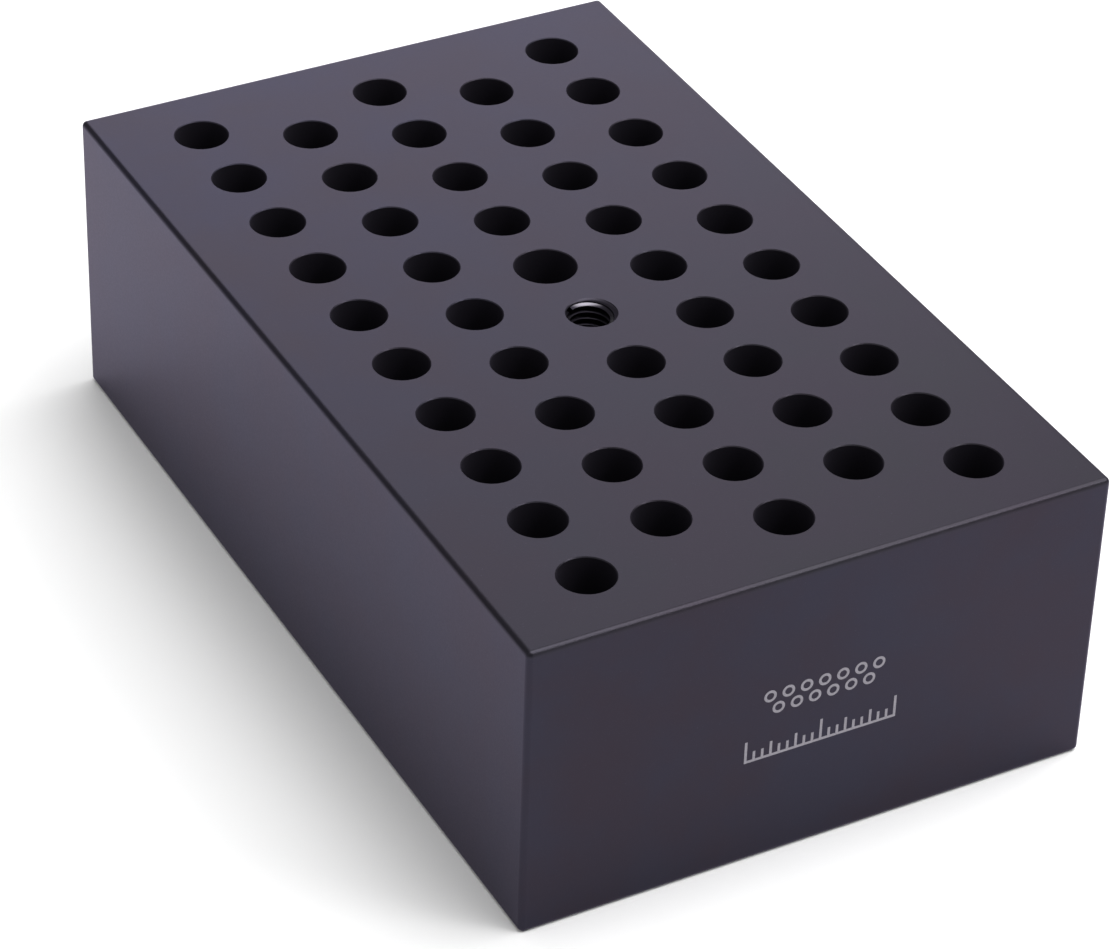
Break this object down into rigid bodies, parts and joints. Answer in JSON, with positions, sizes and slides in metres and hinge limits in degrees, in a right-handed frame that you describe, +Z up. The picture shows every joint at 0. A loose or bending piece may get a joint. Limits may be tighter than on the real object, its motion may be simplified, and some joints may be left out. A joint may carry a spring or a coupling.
{
  "type": "heating block",
  "caption": "Rectangular black anodised aluminium heating block with staggered round tube wells, a thermometer well and a wire-lined lifting thread, for a dry block heater.",
  "frame": {"origin": "centre of the underside", "axes": "+Z up, out of the wells; +Y along the block, away from the marked front; +X to the right as seen from the front"},
  "size_m": [0.0662, 0.1088, 0.0351],
  "materials": {
    "anodised_aluminium": "black anodised, satin",
    "insert_steel": "drawn stainless wire"
  },
  "bodies": {
    "root": {"heating_block": "anodised_aluminium", "thread_insert": "insert_steel"}
  },
  "joints": []
}
